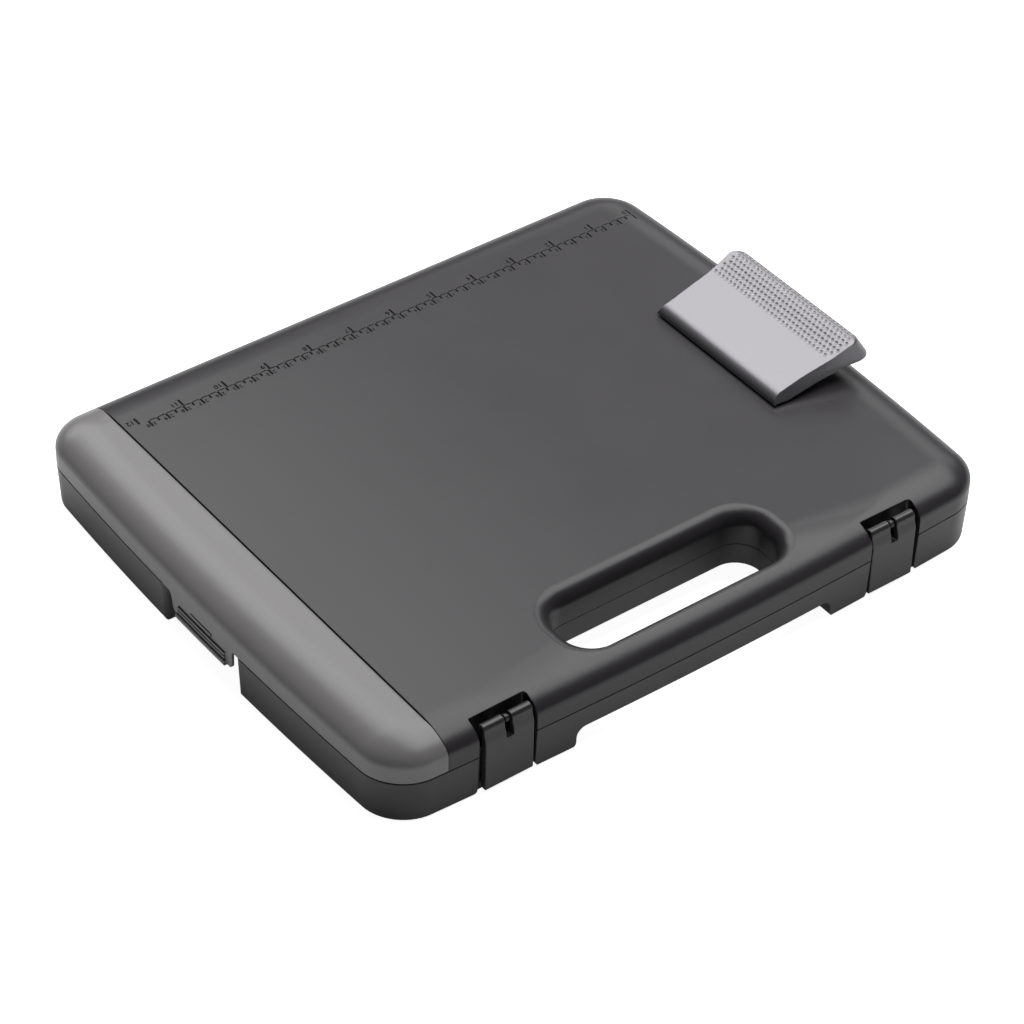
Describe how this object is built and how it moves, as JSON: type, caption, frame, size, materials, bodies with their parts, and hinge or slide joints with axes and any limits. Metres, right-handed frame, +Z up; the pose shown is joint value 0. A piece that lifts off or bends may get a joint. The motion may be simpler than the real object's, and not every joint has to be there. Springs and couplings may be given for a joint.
{
  "type": "storage clipboard case",
  "caption": "Clipboard whose board is the hinged cover of a shallow storage case, with a spring clip, a moulded carry handle, flip latches and a lidded pen compartment.",
  "frame": {"origin": "centre of the underside of the case, on the plane it rests on", "axes": "+X towards the handle and latches, +Y towards the clip end, +Z up out of the writing board"},
  "size_m": [0.3075, 0.3668, 0.0617],
  "materials": {
    "cover_plastic": "fine moulded grain, charcoal",
    "base_plastic": "satin moulded, near black",
    "lid_plastic": "satin moulded, mid grey",
    "clip_plastic": "satin moulded, light grey",
    "pad_rubber": "matte",
    "steel": "zinc plated"
  },
  "bodies": {
    "base": {"base_tray": "base_plastic", "compartment_hinge_wire": "steel", "hinge_pin_pen_end": "steel", "hinge_pin_clip_end": "steel"},
    "cover": {"cover_shell": "cover_plastic", "latch_pin_pen_end": "steel", "latch_pin_clip_end": "steel", "clip_bracket": "steel", "clip_axle": "steel", "clip_spring_left": "steel", "clip_spring_right": "steel", "clip_rivet_left": "steel", "clip_rivet_right": "steel", "rivet_washer_left": "steel", "rivet_washer_right": "steel"},
    "pen_lid": {"compartment_lid": "lid_plastic"},
    "pen_end_latch": {"latch_pen_end": "base_plastic"},
    "clip_end_latch": {"latch_clip_end": "base_plastic"},
    "clip": {"clip_lever": "clip_plastic", "clip_jaw_pad": "pad_rubber"}
  },
  "joints": [
    {"name": "cover_hinge", "type": "hinge", "parent": "base", "child": "cover", "pos_m": [-0.1526, 0, 0.02385], "axis": [0, -1, 0], "range_deg": [0, 170]},
    {"name": "pen_lid_hinge", "type": "hinge", "parent": "base", "child": "pen_lid", "pos_m": [0, -0.1487, 0.041], "axis": [-1, 0, 0], "range_deg": [0, 90]},
    {"name": "pen_end_latch_hinge", "type": "hinge", "parent": "cover", "child": "pen_end_latch", "pos_m": [0.1456, -0.1143, 0.0369], "axis": [0, -1, 0], "range_deg": [0, 100]},
    {"name": "clip_end_latch_hinge", "type": "hinge", "parent": "cover", "child": "clip_end_latch", "pos_m": [0.1456, 0.1143, 0.0369], "axis": [0, -1, 0], "range_deg": [0, 100]},
    {"name": "clip_pivot", "type": "hinge", "parent": "cover", "child": "clip", "pos_m": [0.004, 0.15, 0.0486], "axis": [-1, 0, 0], "range_deg": [0, 15], "stiffness_Nm_per_rad": 0.8, "springref_deg": -17.19}
  ]
}
